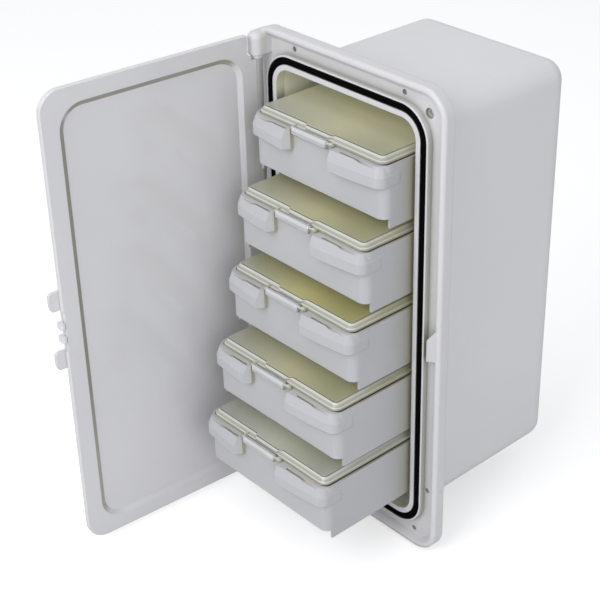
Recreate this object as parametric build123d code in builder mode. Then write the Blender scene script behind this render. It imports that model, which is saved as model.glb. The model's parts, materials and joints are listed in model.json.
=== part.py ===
from build123d import *

import os
from math import cos, radians, sin

os.makedirs("parts", exist_ok=True)

# Frame axes: X to the right, Y into the cabinet, Z up.
# The origin is the centre of the front frame's back face.

# Opening of the cabinet, which the frame, the housing and the drawers follow
opening_width = 158
opening_height = 366
opening_corner = 15.5

# Raised ring round the opening, which carries the seal
ring_lip = 4.8
seal_width = 6
seal_gap = 0.2
ring_outer_wall = 1.6
ring_depth = 10
ring_edge = 0.6
groove_depth = 4.5
seal_stand = 0.5
seal_crown = 2

# Front frame: the flange that stands on the panel round the cut-out
flange_side = 30
flange_end = 30.5
frame_corner = 24
rim_width = 4.5
rim_round = 3
rim_soft = 2.4
rim_slope = 38
channel_soft = 3
floor_depth = 4.5
screw_hole = 4.5
top_screw_x = 61.5
top_screw_inset = 12.9
bottom_screw_x = 80
bottom_screw_inset = 13
side_screw_inset = 14.7
side_screw_z = -152.3
pit_inset_x = 21.5
pit_inset_z = 22
pit_radius = 4.2
pit_depth = 2.5

# Keeper for the door latch, on the inner side of the right rim
keeper_gap = 3.8
keeper_inset = 3.5
keeper_slope_top = 14
keeper_top = 1
keeper_bottom = -19
keeper_slope_bottom = -15

# Housing: deep box behind the frame, seated in a rebate of it
housing_wall = 2.5
housing_depth = 167
housing_back_round = 17
housing_seat = 1.5
seat_gap = 0.1

# Hinge: knuckles on the frame, pins, and a barrel on the door
hinge_inset = 12.1
barrel_radius = 4.8
knuckle_radius = 7.2
knuckle_height = 18.7
knuckle_inset = 4
knuckle_round = 5.5
knuckle_swing = 0.8
pin_radius = 2.5
pin_clearance = 0.05
pin_reach = 13
pin_float = 0.5
collar_radius = 5.3
collar_height = 3.1
end_play = 0.2

# Door, drawn closed on its own hinge axis and then swung open
door_open_angle = 94
door_free_inset = 6.3
door_end_inset = 4.5
door_corner = 18
door_inner = 3.8
door_thickness = 4.5
door_seal_gap = 0.3
door_edge_round = 0.8
pan_hinge_margin = 17.3
pan_free_margin = 14.8
pan_end_margin = 13.9
pan_corner = 22
pan_recess = 2.5
pan_raise = 2
pan_raise_inset = 2.6
pan_slope = 60
pan_raise_slope = 40
notch_width = 11.8
notch_clearance = 0.4
notch_round = 4
latch_notch = 1.4

# Door latch: a pivoting lever on the outer face at the free edge
latch_top = 41.1
latch_bottom = -30.3
latch_tab = 17
latch_plate = 2.8
latch_gap = 0.4
latch_axis_inset = 12.6
latch_barrel = 2.8
latch_stub = 1.5
latch_stub_length = 2.6
latch_lug = 3
latch_lug_wall = 0.4
tab_overhang = 8.1
tab_round = 3.2
tab_lip = 2.4
tab_lip_height = 2.6
hook_overhang = 2.7
hook_height = 5.6
hook_low = -4.8
hook_high = 7.3
hook_bevel = 1.6
hook_step = 0.6

# Drawers: five identical trays that slide on runners
drawer_count = 5
stack_top_gap = 29.1
stack_spare = 36.5
tray_spacing = 21.4
drawer_shift = 0.4
drawer_out = [42.4, 61.9, 75.1, 92.6, 106.0]
drawer_side_gap = 4.5
tray_rear_gap = 11
tray_front = 3.8
tray_corner = 7.6
tray_wall = 2
band_overhang = 0.5
band_front = -6.4
band_side = -0.5
band_back = 20
band_corner = 8
band_height = 17
band_face = 8.6
band_slope = 20
pocket_left = -31
pocket_right = 22
pocket_slant = 4.2
pocket_slant_front = -5.5
pocket_slant_back = 0.5
groove_width = 1.7
groove_end = 68
groove_gap = 31
skid_front = 10.3
skid_rear = 8
skid_root = 4
skid_drop = 8.2
skid_width = 2.2
divider_y = 82
divider_thickness = 1.6
divider_drop = 11.5
divider_gap = 0.3
divider_round = 4
slot_rib = 1.6

# Runners: strips on the side walls under the skids
runner_thickness = 2.5
runner_front = 3
runner_rear = 1
runner_gap = 0.15
runner_relief = 0.4

# Lid, hinged on a rod at the back of the tray
lid_inset = 2.9
lid_front = 5
lid_rear = 7
lid_corner = 7
lid_gap = 0.3
lid_edge = 2
lid_height = 6.4
lid_bevel = 4.2
lid_wall = 1.6
lid_taper = 40
rod_radius = 1.25
rod_inset = 3.5
rod_z = 3.0
rod_spare = 3.1
knuckle_inner = 36
knuckle_outer = 50
lid_knuckle_radius = 3.2
lug_width = 3.6
lug_gap = 0.3
lug_root = 6

# Latch mount on the lid: a block with slanted ends on the bevel
mount_front = 4.6
mount_left = -13
mount_right = 12
mount_slant_left = 4
mount_slant_right = 6.5
mount_bevel = 2.2

# Lid latch: clear clip that pivots in front of the lid's edge
clip_left = -24
clip_right = 14.5
clip_axis_y = 1.8
clip_axis_z = 1.2
clip_pin = 1.0
clip_boss = 1.6
clip_gap = 0.35
clip_front = -0.7
clip_bottom = -3.0
cheek_width = 1.8
ear_offset = 2.5
ear_width = 4
catch_width = 26
catch_top = -0.4
catch_bottom = -2.4
catch_reach = 1.2

# Values that follow from the ones above
interior_half = opening_width / 2
interior_top = opening_height / 2
seal_outer = ring_lip + seal_width
ring_size = seal_outer + ring_outer_wall
frame_width = opening_width + 2 * flange_side
frame_height = opening_height + 2 * flange_end
frame_depth = ring_depth + seal_stand
keeper_inner = interior_half + ring_size + keeper_gap
keeper_outer = frame_width / 2 - keeper_inset
hinge_x = -frame_width / 2 + hinge_inset
hinge_y = -(frame_depth + door_seal_gap + door_inner)
knuckle_top = frame_height / 2 - knuckle_inset
knuckle_bottom = knuckle_top - knuckle_height
barrel_top = knuckle_bottom - collar_height - 2 * end_play
door_width = frame_width - hinge_inset - door_free_inset
door_height = frame_height - 2 * door_end_inset
notch_bottom = knuckle_bottom - notch_clearance
latch_back = door_inner - door_thickness - latch_gap
latch_axis_s = door_width - latch_axis_inset
latch_axis_y = latch_back - latch_barrel
tab_reach = door_width + tab_overhang
hook_reach = door_width + hook_overhang
drawer_pitch = (opening_height - stack_spare) / drawer_count
top_drawer_z = interior_top - stack_top_gap
tray_height = drawer_pitch - tray_spacing
tray_half = interior_half - drawer_side_gap
tray_inner_half = tray_half - tray_wall
tray_back = housing_depth - tray_rear_gap
band_half = tray_half + band_overhang
runner_width = drawer_side_gap + skid_width - runner_relief
runner_back = housing_depth - housing_back_round - runner_rear
lid_half = tray_half - lid_inset
lid_back = tray_back - lid_rear
rod_y = tray_back - rod_inset
rod_half = knuckle_outer + lug_gap + lug_width + rod_spare
divider_height = tray_height - divider_drop
front = Plane.XZ


def ring_outline(grow, mode=Mode.ADD):
    """Rounded outline of the opening, grown outwards by a distance."""
    RectangleRounded(opening_width + 2 * grow, opening_height + 2 * grow, opening_corner + grow, mode=mode)


def make_knuckle(side):
    """Bulb on a frame corner that holds one hinge pin."""
    foot = 1
    with BuildPart(mode=Mode.PRIVATE) as knuckle:
        with BuildSketch(Plane.XY.offset(side * knuckle_bottom)):
            with Locations((hinge_x, hinge_y)):
                Circle(knuckle_radius)
            with Locations((hinge_x, (hinge_y - foot) / 2)):
                Rectangle(2 * knuckle_radius, -hinge_y - foot)
        extrude(amount=side * (knuckle_top - knuckle_bottom))
        end = knuckle.faces().filter_by(Axis.Z).sort_by(Axis.Z)[-1 if side > 0 else 0]
        fillet(end.edges().filter_by_position(Axis.Y, -frame_height, -foot - 0.1), knuckle_round)
    return knuckle.part


def make_front_frame():
    """Flange with a raised rim, a channel, the seal ring, knuckles and the keeper."""
    pit_centre = (frame_width / 2 - pit_inset_x, frame_height / 2 - pit_inset_z)
    with BuildPart() as frame:
        with BuildSketch(front):
            RectangleRounded(frame_width, frame_height, frame_corner)
        extrude(amount=frame_depth)
        fillet(frame.faces().sort_by(Axis.Y)[0].edges(), rim_round)
        with BuildSketch(front.offset(frame_depth)):
            RectangleRounded(frame_width - 2 * rim_width, frame_height - 2 * rim_width,
                             frame_corner - rim_width)
        extrude(amount=-(frame_depth - floor_depth), taper=rim_slope, mode=Mode.SUBTRACT)
        channel_floor = frame.faces().filter_by(Axis.Y).filter_by_position(
            Axis.Y, -floor_depth - 0.01, -floor_depth + 0.01)
        fillet(channel_floor.edges(), channel_soft)
        crest = frame.faces().sort_by(Axis.Y)[0].inner_wires()[0]
        fillet(crest.edges(), rim_soft)
        # hinge side: the rim is cut down to the floor where the door barrel turns
        with Locations((-frame_width / 2, -(frame_depth + floor_depth) / 2, 0)):
            Box(2 * (frame_width / 2 - interior_half - ring_size - 1), frame_depth - floor_depth,
                2 * barrel_top + 4, mode=Mode.SUBTRACT)
        # seal ring
        with BuildSketch(front):
            ring_outline(ring_size)
        extrude(amount=ring_depth)
        fillet(frame.faces().filter_by(Axis.Y).filter_by_position(
            Axis.Y, -ring_depth - 0.01, -ring_depth + 0.01).edges(), ring_edge)
        with BuildSketch(front.offset(ring_depth)):
            ring_outline(seal_outer + seal_gap)
            ring_outline(ring_lip - seal_gap, mode=Mode.SUBTRACT)
        extrude(amount=-groove_depth, mode=Mode.SUBTRACT)
        # keeper
        with BuildSketch(front.offset(floor_depth - 1)):
            with BuildLine():
                Polyline((keeper_inner, keeper_bottom), (keeper_inner, keeper_top),
                         (keeper_outer, keeper_slope_top), (keeper_outer, keeper_slope_bottom), close=True)
            make_face()
        extrude(amount=frame_depth - floor_depth + 1)
        # pit in the floor of the upper corner, for a door stay
        with BuildSketch(front.offset(floor_depth)):
            with Locations(pit_centre):
                Circle(pit_radius)
        extrude(amount=-pit_depth, mode=Mode.SUBTRACT)
        # opening through the flange, with a rebate behind it for the housing
        with BuildSketch(front.offset(-1)):
            ring_outline(0)
        extrude(amount=frame_depth + 4, mode=Mode.SUBTRACT)
        with BuildSketch(front):
            ring_outline(housing_wall + seat_gap)
        extrude(amount=housing_seat, mode=Mode.SUBTRACT)
        # hinge knuckles
        for side in (1, -1):
            add(make_knuckle(side))
            with BuildSketch(Plane.XY.offset(side * knuckle_bottom)):
                with Locations((hinge_x, hinge_y)):
                    Circle(pin_radius + pin_clearance)
            extrude(amount=side * pin_reach, mode=Mode.SUBTRACT)
        # screw holes
        top_screw_z = frame_height / 2 - top_screw_inset
        bottom_screw_z = bottom_screw_inset - frame_height / 2
        spots = [(top_screw_x, top_screw_z), (-top_screw_x, top_screw_z),
                 (bottom_screw_x, bottom_screw_z), (-bottom_screw_x, bottom_screw_z),
                 (frame_width / 2 - side_screw_inset, side_screw_z), pit_centre]
        with BuildSketch(front.offset(-1)):
            with Locations(*spots):
                Circle(screw_hole / 2)
        extrude(amount=frame_depth + 4, mode=Mode.SUBTRACT)
    return frame.part


def make_seal():
    """Rubber ring seated in the groove, with a crowned front."""
    with BuildPart() as seal:
        with BuildSketch(front.offset(ring_depth - groove_depth)):
            ring_outline(seal_outer)
            ring_outline(ring_lip, mode=Mode.SUBTRACT)
        extrude(amount=groove_depth + seal_stand)
        fillet(seal.faces().sort_by(Axis.Y)[0].edges(), seal_crown)
    return seal.part


def make_housing():
    """Deep open-fronted box with rounded edges."""
    with BuildPart() as housing:
        with BuildSketch(front.offset(housing_seat)):
            ring_outline(housing_wall)
        extrude(amount=-(housing_depth + housing_seat))
        fillet(housing.faces().sort_by(Axis.Y)[-1].edges(), housing_back_round)
        with BuildPart(mode=Mode.PRIVATE) as cavity:
            with BuildSketch(front.offset(housing_seat)):
                ring_outline(0)
            extrude(amount=-(housing_depth + housing_seat - housing_wall))
            fillet(cavity.faces().sort_by(Axis.Y)[-1].edges(), housing_back_round - housing_wall)
        add(cavity.part, mode=Mode.SUBTRACT)
    return housing.part


def make_runner(side, level):
    """Strip on a side wall; the tray skid slides on its top face."""
    length = runner_back - runner_front
    with BuildPart() as runner:
        with Locations((side * (interior_half - runner_width / 2), runner_front + length / 2,
                        level - runner_thickness / 2)):
            Box(runner_width, length, runner_thickness)
        nose = runner.edges().filter_by(Axis.X).group_by(Axis.Y)[0]
        chamfer(nose, runner_thickness * 0.4)
    return runner.part


def make_door():
    """Door with a flat border, a recessed pan, a hinge barrel and the latch lugs."""
    middle = door_width / 2
    pan_width = door_width - pan_hinge_margin - pan_free_margin
    pan_centre = pan_hinge_margin + pan_width / 2
    pan_height = door_height - 2 * pan_end_margin
    inner = front.offset(-door_inner)
    outer = front.offset(door_thickness - door_inner)
    with BuildPart() as door:
        with BuildSketch(inner):
            with Locations((middle, 0)):
                Rectangle(door_width, door_height)
            for end in (1, -1):
                with Locations((notch_width / 2, end * (door_height / 2 + notch_bottom) / 2)):
                    Rectangle(notch_width, door_height / 2 - notch_bottom, mode=Mode.SUBTRACT)
        extrude(amount=door_thickness)
        uprights = door.edges().filter_by(Axis.Y)
        fillet(uprights.group_by(Axis.X)[-1], door_corner)
        inside = [e for e in door.edges().filter_by(Axis.Y)
                  if abs(e.center().X - notch_width) < 0.1
                  and abs(abs(e.center().Z) - notch_bottom) < 0.1]
        fillet(inside, notch_round)
        # raised panel on the outer face
        with BuildSketch(outer):
            with Locations((pan_centre, 0)):
                RectangleRounded(pan_width - 2 * pan_raise_inset, pan_height - 2 * pan_raise_inset,
                                 pan_corner - pan_raise_inset)
        extrude(amount=pan_raise, taper=pan_raise_slope)
        # recessed pan on the inner face
        with BuildSketch(inner):
            with Locations((pan_centre, 0)):
                RectangleRounded(pan_width, pan_height, pan_corner)
        extrude(amount=pan_recess, taper=pan_slope, mode=Mode.SUBTRACT)
        # free edge is let in where the latch hooks pass
        with BuildSketch(inner.offset(-1)):
            with Locations((door_width, (latch_top + latch_bottom) / 2)):
                Rectangle(2 * latch_notch, latch_top - latch_bottom - 2 * latch_tab)
        extrude(amount=door_thickness + 2, mode=Mode.SUBTRACT)
        free_edges = [e for e in door.edges() if e.center().Y > door_inner - 0.05
                      and e.center().X > door_width - 2]
        fillet([e for e in free_edges if abs(e.center().Z) > latch_top + latch_lug], door_edge_round)
        # hinge barrel and its clearance to the knuckles
        Cylinder(barrel_radius, 2 * barrel_top)
        for end in (1, -1):
            with Locations((0, 0, end * (barrel_top + knuckle_radius))):
                Box(2 * (knuckle_radius + knuckle_swing), 4 * knuckle_radius, 2 * knuckle_radius,
                    mode=Mode.SUBTRACT)
            with Locations((0, 0, end * (barrel_top - pin_reach / 2))):
                Cylinder(pin_radius + pin_clearance, pin_reach + 0.6, mode=Mode.SUBTRACT)
        # lugs that hold the latch pivot
        lug_radius = latch_barrel + latch_lug_wall
        lug_foot = door_inner - door_thickness + 0.5
        for low in (latch_top + end_play, latch_bottom - end_play - latch_lug):
            with BuildSketch(Plane.XY.offset(low)):
                with Locations((latch_axis_s, latch_axis_y)):
                    Circle(lug_radius)
                with Locations((latch_axis_s, (latch_axis_y + lug_foot) / 2)):
                    Rectangle(2 * lug_radius, lug_foot - latch_axis_y)
                with Locations((latch_axis_s, latch_axis_y)):
                    Circle(latch_stub + pin_clearance, mode=Mode.SUBTRACT)
            extrude(amount=latch_lug)
    return door.part


def make_door_latch():
    """Lever with two finger tabs, two hooks and a pivot barrel."""
    inner_lip = door_inner - hook_step
    with BuildPart() as latch:
        with BuildSketch(front.offset(-latch_back)):
            with Locations(((latch_axis_s + door_width - latch_notch) / 2, (latch_top + latch_bottom) / 2)):
                Rectangle(door_width - latch_notch - latch_axis_s, latch_top - latch_bottom)
            for low in (latch_top - latch_tab, latch_bottom):
                with Locations(((latch_axis_s + tab_reach) / 2, low + latch_tab / 2)):
                    Rectangle(tab_reach - latch_axis_s, latch_tab)
        extrude(amount=latch_plate)
        tips = [e for e in latch.edges().filter_by(Axis.Y) if e.center().X > tab_reach - 0.1]
        fillet(tips, tab_round)
        # curled outer rim of the finger tabs
        for low in (latch_top - latch_tab, latch_bottom):
            with Locations((tab_reach - 0.75 * tab_lip, latch_back - latch_plate - 1, low + latch_tab / 2)):
                Box(tab_lip, tab_lip_height, latch_tab - 2 * tab_round)
        # hooks that reach round the free edge of the door
        for low in (hook_high, hook_low):
            with BuildSketch(Plane.XY.offset(low)):
                with BuildLine():
                    Polyline((door_width - latch_notch - 2, latch_back - latch_plate),
                             (hook_reach, latch_back - latch_plate), (hook_reach, inner_lip - hook_bevel),
                             (hook_reach - hook_bevel, inner_lip), (door_width - 1, inner_lip),
                             (door_width - 1, latch_back), (door_width - latch_notch - 2, latch_back),
                             close=True)
                make_face()
            extrude(amount=hook_height)
        with Locations((latch_axis_s, latch_axis_y, (latch_top + latch_bottom) / 2)):
            Cylinder(latch_barrel, latch_top - latch_bottom)
            Cylinder(latch_stub, latch_top - latch_bottom + 2 * latch_stub_length)
    return latch.part


def make_hinge_pin(side):
    """Short pin with a collar, between a knuckle and the door barrel."""
    low = barrel_top - pin_reach + pin_float
    high = knuckle_bottom + pin_reach - pin_float
    collar_low = barrel_top + end_play
    collar_high = knuckle_bottom - end_play
    with BuildPart() as pin:
        with Locations((hinge_x, hinge_y, side * (low + high) / 2)):
            Cylinder(pin_radius, high - low)
        with Locations((hinge_x, hinge_y, side * (collar_low + collar_high) / 2)):
            Cylinder(collar_radius, collar_high - collar_low)
    return pin.part


def make_tray():
    """Open tray with a finger band along the top of the front and skids below the sides."""
    length = tray_back - tray_front
    with BuildPart() as tray:
        with BuildSketch(Plane.XY.offset(-tray_height)):
            with Locations((0, tray_front + length / 2)):
                RectangleRounded(2 * tray_half, length, tray_corner)
        extrude(amount=tray_height)
        # finger band, bowed in plan and sloped above its face
        for low, rise, slope in ((-band_height, band_face, 0),
                                 (band_face - band_height, band_height - band_face, band_slope)):
            with BuildSketch(Plane.XY.offset(low)):
                with BuildLine():
                    ThreePointArc((-band_half, band_side), (0, band_front), (band_half, band_side))
                    Polyline((band_half, band_side), (band_half, band_back),
                             (-band_half, band_back), (-band_half, band_side))
                outline = make_face()
                fillet(outline.vertices().sort_by(Axis.Y)[:2], band_corner)
            extrude(amount=rise, taper=slope)
        # pocket for the lid latch, with a slanted left end
        with BuildSketch(Plane.XY.offset(1)):
            with BuildLine():
                Polyline((pocket_left, band_front - 1), (pocket_left, pocket_slant_front),
                         (pocket_left + pocket_slant, pocket_slant_back),
                         (pocket_left + pocket_slant, tray_front),
                         (pocket_right, tray_front), (pocket_right, band_front - 1), close=True)
            make_face()
        extrude(amount=-(band_height + 2), mode=Mode.SUBTRACT)
        # hollow
        with BuildSketch(Plane.XY.offset(tray_wall - tray_height)):
            with Locations((0, tray_front + length / 2)):
                RectangleRounded(2 * tray_inner_half, length - 2 * tray_wall, tray_corner - tray_wall)
        extrude(amount=tray_height, mode=Mode.SUBTRACT)
        # groove on top of each band piece
        with BuildSketch(Plane.XY):
            for start, stop in ((-groove_end, -groove_gap), (groove_gap, groove_end)):
                with Locations(((start + stop) / 2, 0)):
                    SlotOverall(stop - start, groove_width)
        extrude(amount=-groove_width, mode=Mode.SUBTRACT)
        # skids
        for side in (1, -1):
            with BuildSketch(Plane.YZ.offset(side * tray_half - (skid_width if side > 0 else 0))):
                with BuildLine():
                    Polyline((skid_front, skid_root - tray_height), (skid_front, -tray_height - skid_drop),
                             (tray_back - skid_rear, -tray_height - skid_drop),
                             (tray_back - skid_rear, skid_root - tray_height), close=True)
                make_face()
            extrude(amount=skid_width)
        # catch for the lid latch
        with BuildSketch(Plane.YZ.offset((clip_left + clip_right - catch_width) / 2)):
            with BuildLine():
                Polyline((tray_front + 1, catch_top + 0.6), (tray_front - catch_reach, catch_top - 0.6),
                         (tray_front - catch_reach, catch_bottom), (tray_front + 1, catch_bottom),
                         close=True)
            make_face()
        extrude(amount=catch_width)
        # ribs that hold the divider
        step = divider_thickness / 2 + divider_gap + slot_rib / 2
        for side in (1, -1):
            for shift in (step, -step):
                with Locations((side * (tray_inner_half - slot_rib / 2 + 0.2), divider_y + shift,
                                tray_wall - tray_height + divider_height / 2 - 0.1)):
                    Box(slot_rib, slot_rib, divider_height)
        # lugs for the lid rod on the back wall
        for side in (1, -1):
            for start in (knuckle_inner - lug_gap - lug_width, knuckle_outer + lug_gap):
                base = start if side > 0 else -start - lug_width
                with BuildSketch(Plane.YZ.offset(base)):
                    with Locations((rod_y, rod_z)):
                        Circle(lid_knuckle_radius)
                    with BuildLine():
                        Polyline((rod_y - lid_knuckle_radius, rod_z), (rod_y + lid_knuckle_radius, rod_z),
                                 (tray_back, -lug_root), (tray_back - tray_wall, -lug_root),
                                 (rod_y - lid_knuckle_radius, 0),
                                 close=True)
                    make_face()
                    with Locations((rod_y, rod_z)):
                        Circle(rod_radius + pin_clearance, mode=Mode.SUBTRACT)
                extrude(amount=lug_width)
    return tray.part


def make_divider():
    """Cross divider that stands in the ribs of the tray."""
    with BuildPart() as divider:
        with Locations((0, divider_y, tray_wall - tray_height + divider_height / 2)):
            Box(2 * (tray_inner_half - divider_gap), divider_thickness, divider_height)
        fillet(divider.edges().filter_by(Axis.Y).group_by(Axis.Z)[-1], divider_round)
    return divider.part


def make_lid():
    """Clear lid with a bevelled edge, hinge knuckles at the back and the latch mount."""
    length = lid_back - lid_front
    middle = lid_front + length / 2
    inner_width = 2 * (lid_half - lid_wall)
    bevel_drop = lid_height - lid_edge
    with BuildPart() as lid:
        with BuildSketch(Plane.XY.offset(lid_gap)):
            with Locations((0, middle)):
                RectangleRounded(2 * lid_half, length, lid_corner)
        extrude(amount=lid_height - lid_gap)
        chamfer(lid.faces().sort_by(Axis.Z)[-1].edges(), bevel_drop, lid_bevel)
        add(make_latch_mount())
        with BuildSketch(Plane.XY.offset(lid_gap)):
            with Locations((0, middle)):
                RectangleRounded(inner_width, length - 2 * lid_wall, lid_corner - lid_wall)
        extrude(amount=lid_edge - lid_gap, mode=Mode.SUBTRACT)
        with BuildSketch(Plane.XY.offset(lid_edge)):
            with Locations((0, middle)):
                RectangleRounded(inner_width, length - 2 * lid_wall, lid_corner - lid_wall)
        extrude(amount=bevel_drop - lid_wall, taper=lid_taper, mode=Mode.SUBTRACT)
        # hinge knuckles
        for side in (1, -1):
            base = knuckle_inner if side > 0 else -knuckle_outer
            web = lid_back - lid_bevel
            with BuildSketch(Plane.YZ.offset(base)):
                with Locations((rod_y, rod_z)):
                    Circle(lid_knuckle_radius)
                with BuildLine():
                    Polyline((rod_y, rod_z + lid_knuckle_radius), (web, lid_height - 0.5 * lid_wall),
                             (web, lid_height - 1.5 * lid_wall), (rod_y, rod_z - 0.5 * lid_wall), close=True)
                make_face()
                with Locations((rod_y, rod_z)):
                    Circle(rod_radius + pin_clearance, mode=Mode.SUBTRACT)
            extrude(amount=knuckle_outer - knuckle_inner)
        # cheek up the bevel on the left and a low ear on the right, which hold the latch pin
        foot = lid_gap + 0.1
        cheek = [(clip_axis_y, clip_axis_z + clip_boss),
                 (lid_front + lid_bevel - lid_wall, lid_height - lid_wall - 0.2),
                 (lid_front + 0.75 * lid_wall, lid_edge), (lid_front + 0.75 * lid_wall, foot),
                 (clip_axis_y + 0.6, foot)]
        ear = [(clip_axis_y, clip_axis_z + clip_boss), (lid_front + 0.6, lid_edge), (lid_front + 0.6, foot),
               (clip_axis_y + 0.6, foot)]
        for base, width, web in ((clip_left - clip_gap - cheek_width, cheek_width, cheek),
                                 (clip_right + ear_offset, ear_width, ear)):
            with BuildSketch(Plane.YZ.offset(base)):
                with Locations((clip_axis_y, clip_axis_z)):
                    Circle(clip_boss)
                with BuildLine():
                    Polyline(*web, close=True)
                make_face()
                with Locations((clip_axis_y, clip_axis_z)):
                    Circle(clip_pin + pin_clearance, mode=Mode.SUBTRACT)
            extrude(amount=width)
    return lid.part


def make_latch_mount():
    """Block with slanted ends and its own small bevel, where the latch lies against the lid."""
    back = lid_front + lid_bevel + 1
    with BuildPart(mode=Mode.PRIVATE) as mount:
        with BuildSketch(Plane.XY.offset(lid_gap)):
            with BuildLine():
                Polyline((mount_left, mount_front), (mount_right, mount_front),
                         (mount_right + mount_slant_right, back), (mount_left - mount_slant_left, back),
                         close=True)
            make_face()
        extrude(amount=lid_height - lid_gap)
        top_edges = mount.edges().filter_by(Axis.X).group_by(Axis.Z)[-1]
        chamfer(top_edges.sort_by(Axis.Y)[0], mount_bevel)
    return mount.part


def make_lid_latch():
    """Clear clip in front of the lid's edge: a ridged bar with a pin through its ends."""
    inner = tray_front - catch_reach - clip_gap
    sweep = mount_front - clip_gap - clip_axis_y
    shoulder = [(clip_axis_y + sweep * cos(radians(angle)), clip_axis_z + sweep * sin(radians(angle)))
                for angle in (40, 58, 77)]
    with BuildPart() as clip:
        with BuildSketch(Plane.YZ.offset(clip_left)):
            with BuildLine():
                Polyline(*shoulder, (clip_axis_y - 0.9, clip_axis_z + 2.1),
                         (clip_axis_y - 1.9, clip_axis_z + 1.0), (clip_front + 0.1, clip_axis_z - 0.4),
                         (clip_front, clip_bottom + 0.8), (clip_front + 0.7, clip_bottom),
                         (inner - 0.6, clip_bottom), (inner, clip_bottom + 0.6), (inner, clip_axis_z - 1.4),
                         (clip_axis_y + 1.3, clip_axis_z - 0.6), close=True)
            make_face()
        extrude(amount=clip_right - clip_left)
        low = clip_left - clip_gap - cheek_width + 0.2
        high = clip_right + ear_offset + ear_width + 0.6
        with Locations(((low + high) / 2, clip_axis_y, clip_axis_z)):
            Cylinder(clip_pin, high - low, rotation=(0, 90, 0))
    return clip.part


def make_lid_rod():
    """Wire rod through the lid knuckles and the tray lugs."""
    with BuildPart() as rod:
        with Locations((0, rod_y, rod_z)):
            Cylinder(rod_radius, 2 * rod_half, rotation=(0, 90, 0))
    return rod.part


def save(part, label):
    """Write one named piece."""
    part.label = label
    export_step(part, f"parts/{label}.step")


save(make_housing(), "housing")
save(make_front_frame(), "front_frame")
save(make_seal(), "door_seal")
save(make_hinge_pin(1), "hinge_pin_top")
save(make_hinge_pin(-1), "hinge_pin_bottom")

open_door = Location((hinge_x, hinge_y, 0), (0, 0, -door_open_angle))
save(make_door().moved(open_door), "door")
save(make_door_latch().moved(open_door), "door_latch")

tray, lid, lid_latch, rod, divider = make_tray(), make_lid(), make_lid_latch(), make_lid_rod(), make_divider()
for number in range(drawer_count):
    level = top_drawer_z - drawer_pitch * number
    place = Location((drawer_shift, -drawer_out[number], level))
    save(tray.moved(place), f"drawer_tray_{number + 1}")
    save(lid.moved(place), f"drawer_lid_{number + 1}")
    save(lid_latch.moved(place), f"lid_latch_{number + 1}")
    save(rod.moved(place), f"lid_rod_{number + 1}")
    save(divider.moved(place), f"drawer_divider_{number + 1}")
    shelf = level - tray_height - skid_drop - runner_gap
    save(make_runner(-1, shelf), f"runner_left_{number + 1}")
    save(make_runner(1, shelf), f"runner_right_{number + 1}")
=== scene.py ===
import json
import math

import bpy
from mathutils import Matrix, Vector


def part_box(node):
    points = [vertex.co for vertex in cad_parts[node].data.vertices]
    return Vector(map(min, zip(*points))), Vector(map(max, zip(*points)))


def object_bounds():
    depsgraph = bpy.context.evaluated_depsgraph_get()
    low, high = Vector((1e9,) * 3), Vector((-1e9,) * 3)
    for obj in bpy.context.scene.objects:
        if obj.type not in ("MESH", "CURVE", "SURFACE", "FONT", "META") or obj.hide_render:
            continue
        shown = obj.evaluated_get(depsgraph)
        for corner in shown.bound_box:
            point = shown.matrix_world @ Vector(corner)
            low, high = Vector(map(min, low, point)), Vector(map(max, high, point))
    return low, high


# Materials, floor, light and camera for the drawer unit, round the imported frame.
# Lengths are in metres. The drawers open towards -Y and +Z is up.

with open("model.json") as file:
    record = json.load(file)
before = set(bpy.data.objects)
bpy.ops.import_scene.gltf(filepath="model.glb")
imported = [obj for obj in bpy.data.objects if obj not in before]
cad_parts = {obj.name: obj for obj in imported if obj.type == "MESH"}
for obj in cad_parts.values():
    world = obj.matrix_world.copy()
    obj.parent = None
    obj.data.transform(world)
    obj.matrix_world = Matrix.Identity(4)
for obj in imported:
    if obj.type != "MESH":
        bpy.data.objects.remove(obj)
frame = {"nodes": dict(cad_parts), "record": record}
cad_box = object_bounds()
nodes = frame["nodes"]
levels = range(1, 6)

# Where the masks lie, on the part at rest
hinge_x, hinge_y = frame["record"]["behaviour"]["joints"][0]["pos_m"][:2]
barrel_radius, barrel_half_length = 0.0049, 0.1874
knuckle_root_x, knuckle_root_y = hinge_x + 0.0095, hinge_y + 0.003
knuckle_half_height = 0.2105
hollow_centre = (0.0, 0.083, 0.0)
mouth_centre = (0.0, -0.005, 0.0)
mouth_half_width, mouth_half_height = 0.0794, 0.1834
lid_bevel_height = 0.0044


# Node helpers

def new_material(name):
    """A node material: the material, its tree and its shader."""
    material = bpy.data.materials.new(name)
    material.use_nodes = True
    tree = material.node_tree
    return material, tree, tree.nodes["Principled BSDF"]


def link(tree, source, target):
    tree.links.new(source, target)


def fill(tree, socket, value):
    """Give a socket a number, a colour or another node's output."""
    if isinstance(value, (int, float)):
        socket.default_value = value
    elif isinstance(value, tuple):
        socket.default_value = (*value, 1)
    else:
        link(tree, value, socket)


def math_node(tree, operation, first, second=None):
    """One arithmetic step; an input is a socket or a number."""
    node = tree.nodes.new("ShaderNodeMath")
    node.operation = operation
    fill(tree, node.inputs[0], first)
    if second is not None:
        fill(tree, node.inputs[1], second)
    return node.outputs["Value"]


def product(tree, first, second):
    return math_node(tree, "MULTIPLY", first, second)


def mixed(tree, factor, first, second):
    """Two colours, sockets or triples, mixed by a factor."""
    node = tree.nodes.new("ShaderNodeMix")
    node.data_type = "RGBA"
    fill(tree, node.inputs["A"], first)
    fill(tree, node.inputs["B"], second)
    link(tree, factor, node.inputs["Factor"])
    return node.outputs["Result"]


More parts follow.
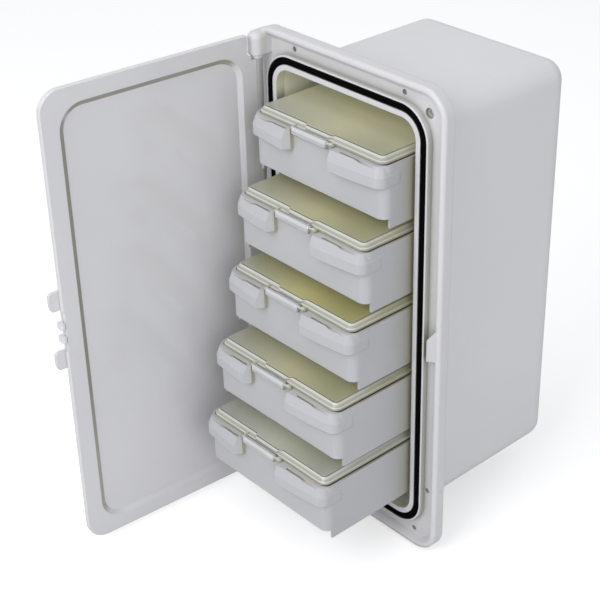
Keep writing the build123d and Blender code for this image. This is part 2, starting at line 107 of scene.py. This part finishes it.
def remap(tree, source, low, high, source_low, source_high):
    """A value moved from its own range to low and high, and clamped there."""
    node = tree.nodes.new("ShaderNodeMapRange")
    node.inputs["From Min"].default_value = source_low
    node.inputs["From Max"].default_value = source_high
    node.inputs["To Min"].default_value = low
    node.inputs["To Max"].default_value = high
    link(tree, source, node.inputs["Value"])
    return node.outputs["Result"]


def object_noise(tree, scale, detail=3.0, stretch=(1, 1, 1)):
    """Noise in object space, so that it stays on the piece."""
    coords = tree.nodes.new("ShaderNodeTexCoord")
    mapping = tree.nodes.new("ShaderNodeMapping")
    mapping.inputs["Scale"].default_value = stretch
    noise = tree.nodes.new("ShaderNodeTexNoise")
    noise.inputs["Scale"].default_value = scale
    noise.inputs["Detail"].default_value = detail
    link(tree, coords.outputs["Object"], mapping.inputs["Vector"])
    link(tree, mapping.outputs["Vector"], noise.inputs["Vector"])
    return noise.outputs["Fac"]


def spread(tree, noise, low=0.0, high=1.0):
    """The middle of a noise's range stretched over low to high."""
    return remap(tree, noise, low, high, 0.3, 0.7)


def split_vector(tree, output):
    """X, Y and Z of the object-space place or normal."""
    coords = tree.nodes.new("ShaderNodeTexCoord")
    split = tree.nodes.new("ShaderNodeSeparateXYZ")
    link(tree, coords.outputs[output], split.inputs["Vector"])
    return split.outputs


# Masks for painted shade and painted light: 1 where it goes, 0 elsewhere

def within(tree, value, half, blend=0.0002):
    """1 where a signed distance is under half."""
    return remap(tree, math_node(tree, "ABSOLUTE", value), 1, 0, half - blend, half + blend)


def facing_inward(tree, centre):
    """1 where the surface looks towards the middle of its hollow."""
    coords = tree.nodes.new("ShaderNodeTexCoord")
    away = tree.nodes.new("ShaderNodeVectorMath")
    away.operation = "SUBTRACT"
    away.inputs[1].default_value = centre
    link(tree, coords.outputs["Object"], away.inputs[0])
    turned = tree.nodes.new("ShaderNodeVectorMath")
    turned.operation = "DOT_PRODUCT"
    link(tree, away.outputs["Vector"], turned.inputs[0])
    link(tree, coords.outputs["Normal"], turned.inputs[1])
    return remap(tree, turned.outputs["Value"], 1, 0, -0.002, 0.0)


def around_axis(tree, x, y, near, far, half_height):
    """1 nearer than near to an upright axis, fading out at far."""
    place = split_vector(tree, "Object")
    dx = math_node(tree, "POWER", math_node(tree, "SUBTRACT", place["X"], x), 2.0)
    dy = math_node(tree, "POWER", math_node(tree, "SUBTRACT", place["Y"], y), 2.0)
    away = math_node(tree, "SQRT", math_node(tree, "ADD", dx, dy))
    return product(tree, remap(tree, away, 1, 0, near, far), within(tree, place["Z"], half_height))


def occlusion_shade(tree, reach):
    """1 where ambient occlusion finds a groove or corner, 0 on an open face: the mask for painted shade."""
    shade = tree.nodes.new("ShaderNodeAmbientOcclusion")
    shade.samples = 8
    shade.inputs["Distance"].default_value = reach
    return remap(tree, shade.outputs["AO"], 1, 0, 0.35, 0.9)


def hollow_painted_light(tree):
    """Painted light on the inside of the housing, paler and more olive than its outside."""
    return facing_inward(tree, hollow_centre)


def mouth_painted_light(tree):
    """Painted olive light on the inner wall of the frame's mouth."""
    place = split_vector(tree, "Object")
    across = within(tree, place["X"], mouth_half_width)
    along = within(tree, place["Z"], mouth_half_height)
    return product(tree, product(tree, across, along), facing_inward(tree, mouth_centre))


def knuckle_root_shade(tree):
    """Painted shade where a knuckle meets the frame."""
    patch = around_axis(tree, knuckle_root_x, knuckle_root_y, 0.001, 0.006, knuckle_half_height)
    return product(tree, patch, 0.6)


def frame_groove_shade(tree):
    """Painted shade in the channel round the frame, except beside the barrel, where none is painted."""
    clear_of_barrel = remap(tree, split_vector(tree, "Object")["X"], 0, 1, -0.09, -0.08)
    return product(tree, occlusion_shade(tree, 0.012), clear_of_barrel)


def pan_step_shade(tree):
    """Painted shade on the steps of the door's pan that face down or towards the hinge."""
    facing = split_vector(tree, "Normal")
    turned = math_node(tree, "MAXIMUM", facing["Y"], product(tree, facing["Z"], -1.0))
    inward = remap(tree, turned, 0, 1, 0.30, 0.42)
    return product(tree, inward, remap(tree, facing["X"], 0, 1, 0.5, 0.7))


def hinge_barrel_shade(tree):
    """Painted shade on the door's round hinge edge."""
    return around_axis(tree, hinge_x, hinge_y, barrel_radius, barrel_radius + 0.0004, barrel_half_length)


# Painted olive shade in the trays' corners and close to other parts, found by ambient occlusion.
def tray_corner_shade(tree):
    return occlusion_shade(tree, 0.03)


# Materials

def rounded_normal(tree, shader, edge, noise, height):
    """Softened edges plus a faint skin from the mould."""
    bevel = tree.nodes.new("ShaderNodeBevel")
    bevel.samples = 6
    bevel.inputs["Radius"].default_value = edge
    bump = tree.nodes.new("ShaderNodeBump")
    bump.inputs["Strength"].default_value = 0.25
    bump.inputs["Distance"].default_value = height
    link(tree, noise, bump.inputs["Height"])
    link(tree, bevel.outputs["Normal"], bump.inputs["Normal"])
    link(tree, bump.outputs["Normal"], shader.inputs["Normal"])


def moulded_plastic(name, colour, shade, roughness, painted_light_and_shade=(), coat=0.0):
    """Opaque moulded plastic: slight tint drift, uneven gloss and a fine skin.

    Each extra (where, colour) pair gives a function that makes the mask in this material, and the colour
    there; each is painted shade or painted light.
    """
    material, tree, shader = new_material(name)
    broad = object_noise(tree, 9.0)
    fine = object_noise(tree, 900.0, 2.0)
    body = mixed(tree, spread(tree, broad), colour, shade)
    # Each mask lays painted shade or painted light over the body colour.
    for where, tint in painted_light_and_shade:
        body = mixed(tree, where(tree), body, tint)
    link(tree, body, shader.inputs["Base Color"])
    link(tree, spread(tree, broad, roughness - 0.04, roughness + 0.05), shader.inputs["Roughness"])
    rounded_normal(tree, shader, 0.0008, fine, 0.00006)
    shader.inputs["IOR"].default_value = 1.5
    shader.inputs["Coat Weight"].default_value = coat
    shader.inputs["Coat Roughness"].default_value = 0.05
    return material


# The housing's inside is painted paler and olive: painted light in the dim hollow.
housing_white = moulded_plastic("housing_white", (0.80, 0.80, 0.815), (0.77, 0.77, 0.785), 0.36,
                                [(hollow_painted_light, (0.94, 0.93, 0.76))])
runner_white = moulded_plastic("runner_white", (0.84, 0.83, 0.66), (0.80, 0.79, 0.62), 0.36)
# On the frame: painted olive light in the mouth, painted shade where the knuckles meet it, and painted
# shade in its channel.
shell_white = moulded_plastic("shell_white", (0.72, 0.715, 0.74), (0.69, 0.685, 0.71), 0.30,
                              [(mouth_painted_light, (0.78, 0.77, 0.62)), (knuckle_root_shade, (0.52, 0.51, 0.42)),
                               (frame_groove_shade, (0.34, 0.34, 0.29))])
# On the door: painted shade on the pan's steps and on the hinge edge.
door_white = moulded_plastic("door_white", (0.75, 0.745, 0.775), (0.72, 0.715, 0.745), 0.11,
                             [(pan_step_shade, (0.42, 0.41, 0.36)), (hinge_barrel_shade, (0.44, 0.43, 0.42))], coat=0.7)
# On the trays: painted olive shade in corners and close to other parts.
tray_white = moulded_plastic("tray_white", (0.54, 0.545, 0.57), (0.51, 0.515, 0.54), 0.34,
                             [(tray_corner_shade, (0.42, 0.40, 0.29))])

# Painted shade: the grey laid on the front left of the clear lids and clips.
front_left_shade_grey = (0.48, 0.495, 0.475)
# The clips' palest grey is a painted highlight band on their bevel.
clip_grey, clip_shade, clip_highlight_pale = (0.82, 0.835, 0.86), (0.78, 0.795, 0.82), (0.88, 0.89, 0.90)
# Bands down the bevels of the clear lids and clips, by height: the pale bands are painted highlights, the
# deep bands painted shade and the dark lines painted dark refraction edges.
pale, deep, line = (0.74, 0.745, 0.69), (0.50, 0.50, 0.42), (0.05, 0.05, 0.048)
lid_painted_bands = ((0.0, deep), (0.06, pale), (0.16, pale), (0.24, deep), (0.50, deep), (0.60, pale),
             (0.86, pale), (0.90, line), (0.97, line), (1.0, pale))
clip_painted_bands = ((0.0, line), (0.10, (0.80, 0.81, 0.82)), (0.40, (0.66, 0.67, 0.69)), (0.60, clip_highlight_pale),
              (0.90, clip_highlight_pale), (1.0, line))
# The lids' cast, set lid by lid: partly the plastic's own colour, partly painted light and shade, as each
# level is lit differently.
olive = {1: (0.72, 0.70, 0.51), 2: (0.72, 0.69, 0.43), 3: (0.72, 0.68, 0.32), 4: (0.68, 0.66, 0.42),
         5: (0.71, 0.73, 0.62)}
# The cap on the painted light that makes each lid paler towards the back.
palest_lit_olive = (0.97, 0.945, 0.70)


def scaled(colour, share):
    return tuple(share * value for value in colour)


def banded(tree, bands, height):
    """Colours in level bands: each is (share of the height, colour)."""
    ramp = tree.nodes.new("ShaderNodeValToRGB")
    stops = ramp.color_ramp.elements
    while len(stops) < len(bands):
        stops.new(0.5)
    for stop, (share, band) in zip(stops, bands):
        stop.position = share
        stop.color = (*band, 1)
    link(tree, height, ramp.inputs["Fac"])
    return ramp.outputs["Color"]


def flat_cast_and_painted_light(tree, noise, place, colours, low, high):
    """The cast of the flat face, with painted light and shade: paler to the back (painted light), grey at
    the front left and dull at the front right (painted shade).
    """
    colour, shade, lit_rear = colours
    left_x, right_x, front_y = low[0], high[0], low[1]
    # Painted light: the cast turns paler towards the back, inside the dim housing.
    depth = remap(tree, place["Y"], 0, 1, front_y + 0.01, front_y + 0.065)
    front = remap(tree, place["Y"], 1, 0, front_y + 0.01, front_y + 0.06)
    left = remap(tree, place["X"], 0.8, 0, left_x + 0.01, left_x + 0.08)
    right = remap(tree, place["X"], 0, 1, (left_x + right_x) / 2, right_x - 0.02)
    flat = mixed(tree, depth, mixed(tree, spread(tree, noise), colour, shade), lit_rear)
    # Painted shade: grey at the front left.
    flat = mixed(tree, product(tree, left, front), flat, front_left_shade_grey)
    # Painted shade: dulled at the front right.
    return mixed(tree, product(tree, right, front), flat, scaled(colour, 0.74))


def clear_plastic(name, colours, bands, low, high, clear, roughness, side_cast=0.0):
    """Clear plastic with a cast and painted light and shade on its flat face, and bands of painted
    highlight, painted shade and dark refraction lines down its bevels.

    colours are the cast, its darker tone that noise mixes in, and its paler tone towards the back, which is
    painted light. low and high are the piece's corners, and the bands run round it between their heights.
    side_cast is how much of the cast the bevel on the right takes towards its back, in place of the painted
    bands.
    """
    material, tree, shader = new_material(name)
    broad = object_noise(tree, 14.0)
    fine = object_noise(tree, 400.0, 2.0)
    facing = split_vector(tree, "Normal")
    place = split_vector(tree, "Object")
    flat = flat_cast_and_painted_light(tree, broad, place, colours, low, high)
    bevel = banded(tree, bands, remap(tree, place["Z"], 0, 1, low[2], high[2]))
    if side_cast:
        across = remap(tree, facing["X"], 0, side_cast, 0.2, 0.6)
        along = remap(tree, place["Y"], 0, 1, low[1] + 0.005, low[1] + 0.09)
        bevel = mixed(tree, product(tree, across, along), bevel, colours[0])
    sloping = remap(tree, facing["Z"], 1, 0, 0.90, 0.98)
    link(tree, mixed(tree, sloping, flat, bevel), shader.inputs["Base Color"])
    link(tree, spread(tree, broad, roughness, roughness + 0.06), shader.inputs["Roughness"])
    shader.inputs["IOR"].default_value = 1.49
    shader.inputs["Transmission Weight"].default_value = clear
    rounded_normal(tree, shader, 0.0006, fine, 0.00004)
    return material


def lid_plastic(number):
    colour = olive[number]
    # Painted light: the lid's colour towards the back, paler than its cast.
    lit_rear = tuple(map(min, palest_lit_olive, scaled(colour, 1.32)))
    low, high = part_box(f"drawer_lid_{number}")
    low = (low[0], low[1], high[2] - lid_bevel_height)
    colours = (colour, scaled(colour, 0.94), lit_rear)
    return clear_plastic(f"lid_clear_{number}", colours, lid_painted_bands, low, high, 0.18, 0.07, 0.7)


def clip_plastic(number):
    low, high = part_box(f"lid_latch_{number}")
    colours = (clip_grey, clip_shade, clip_grey)
    return clear_plastic(f"clip_clear_{number}", colours, clip_painted_bands, low, high, 0.35, 0.06)


def black_rubber():
    material, tree, shader = new_material("seal_rubber")
    fine = object_noise(tree, 600.0, 4.0)
    body = mixed(tree, spread(tree, fine), (0.0012, 0.0012, 0.0013), (0.002, 0.002, 0.0022))
    link(tree, body, shader.inputs["Base Color"])
    link(tree, spread(tree, fine, 0.55, 0.7), shader.inputs["Roughness"])
    shader.inputs["Specular IOR Level"].default_value = 0.02
    rounded_normal(tree, shader, 0.0006, fine, 0.0001)
    return material


def steel_wire():
    """Drawn wire, with its grain along the rod."""
    material, tree, shader = new_material("rod_steel")
    grain = object_noise(tree, 500.0, 3.0, (0.05, 1, 1))
    body = mixed(tree, spread(tree, grain), (0.60, 0.60, 0.61), (0.48, 0.48, 0.49))
    link(tree, body, shader.inputs["Base Color"])
    link(tree, spread(tree, grain, 0.25, 0.4), shader.inputs["Roughness"])
    shader.inputs["Metallic"].default_value = 1.0
    rounded_normal(tree, shader, 0.0002, grain, 0.00003)
    return material


rod_steel = steel_wire()
finishes = {"housing": housing_white, "front_frame": shell_white, "door_seal": black_rubber(),
            "door": door_white, "door_latch": door_white, "hinge_pin_top": shell_white,
            "hinge_pin_bottom": shell_white}
for number in levels:
    finishes[f"drawer_tray_{number}"] = tray_white
    finishes[f"drawer_divider_{number}"] = tray_white
    finishes[f"drawer_lid_{number}"] = lid_plastic(number)
    finishes[f"lid_latch_{number}"] = clip_plastic(number)
    finishes[f"lid_rod_{number}"] = rod_steel
    finishes[f"runner_left_{number}"] = runner_white
    finishes[f"runner_right_{number}"] = runner_white
for name, material in finishes.items():
    mesh = nodes[name].data
    mesh.materials.clear()
    mesh.materials.append(material)


# Floor, backdrop, light and camera

def make_floor():
    """Pale floor under the lowest edge; the camera sees it as white with the object's soft shadow."""
    bpy.ops.mesh.primitive_plane_add(size=30, location=(0, 0, cad_box[0][2] - 0.0005))
    floor = bpy.context.object
    floor.name = "floor"
    material, tree, shader = new_material("floor_white")
    shader.inputs["Base Color"].default_value = (0.86, 0.86, 0.86, 1)
    shader.inputs["Roughness"].default_value = 0.9
    shader.inputs["Specular IOR Level"].default_value = 0.0
    shader.inputs["Emission Color"].default_value = (1, 1, 1, 1)
    path = tree.nodes.new("ShaderNodeLightPath").outputs
    seen = math_node(tree, "MAXIMUM", path["Is Camera Ray"], path["Is Transmission Ray"])
    link(tree, product(tree, seen, 0.45), shader.inputs["Emission Strength"])
    floor.data.materials.append(material)


def make_world():
    """Even studio light; the camera, gloss and clear plastic see it at full white."""
    world = bpy.data.worlds.new("studio")
    bpy.context.scene.world = world
    world.use_nodes = True
    tree = world.node_tree
    back = tree.nodes["Background"]
    back.inputs["Color"].default_value = (0.95, 0.97, 1.0, 1)
    path = tree.nodes.new("ShaderNodeLightPath").outputs
    mirrored = math_node(tree, "MAXIMUM", path["Is Glossy Ray"], path["Is Transmission Ray"])
    seen = math_node(tree, "MAXIMUM", path["Is Camera Ray"], mirrored)
    link(tree, remap(tree, seen, 0.46, 1.0, 0, 1), back.inputs["Strength"])


def soft_box(name, place, side, watts):
    """A square area light that points at the object's middle."""
    light = bpy.data.lights.new(name, "AREA")
    light.shape = "RECTANGLE"
    light.size = light.size_y = side
    light.energy = watts
    lamp = bpy.data.objects.new(name, light)
    lamp.location = place
    lamp.rotation_euler = (-Vector(place)).to_track_quat("-Z", "Y").to_euler()
    bpy.context.scene.collection.objects.link(lamp)


def make_camera():
    """Camera from the fit to the photograph, which is 600 pixels square."""
    pixels, sensor_mm = 600, 36
    focal_pixels, distance = 1445.15, 1.21316
    azimuth, elevation, roll = math.radians(47.26), math.radians(29.57), math.radians(-0.64)
    centre_x, centre_y = 340.0, 270.0
    target = Vector((-0.01607, 0.0, 0.01564))

    data = bpy.data.cameras.new("camera")
    data.sensor_width = sensor_mm
    data.lens = focal_pixels / pixels * sensor_mm
    data.shift_x = (pixels / 2 - centre_x) / pixels
    data.shift_y = (centre_y - pixels / 2) / pixels

    away = Vector((math.sin(azimuth) * math.cos(elevation), -math.cos(azimuth) * math.cos(elevation),
                   math.sin(elevation)))
    level = (-away).cross(Vector((0, 0, 1))).normalized()
    up = level.cross(-away)
    right = math.cos(roll) * level + math.sin(roll) * up
    top = -math.sin(roll) * level + math.cos(roll) * up
    turned = Matrix((right, top, away)).transposed().to_4x4()
    camera = bpy.data.objects.new("camera", data)
    camera.matrix_world = Matrix.Translation(target + away * distance) @ turned
    bpy.context.scene.collection.objects.link(camera)
    bpy.context.scene.camera = camera


make_floor()
make_world()
soft_box("key", (0.2, -1.5, 1.05), 1.1, 14)
soft_box("top", (-0.5, -0.6, 2.2), 1.4, 7.5)
soft_box("fill", (1.9, -0.7, 0.9), 1.4, 8)
make_camera()
bpy.context.scene.view_settings.view_transform = "Standard"
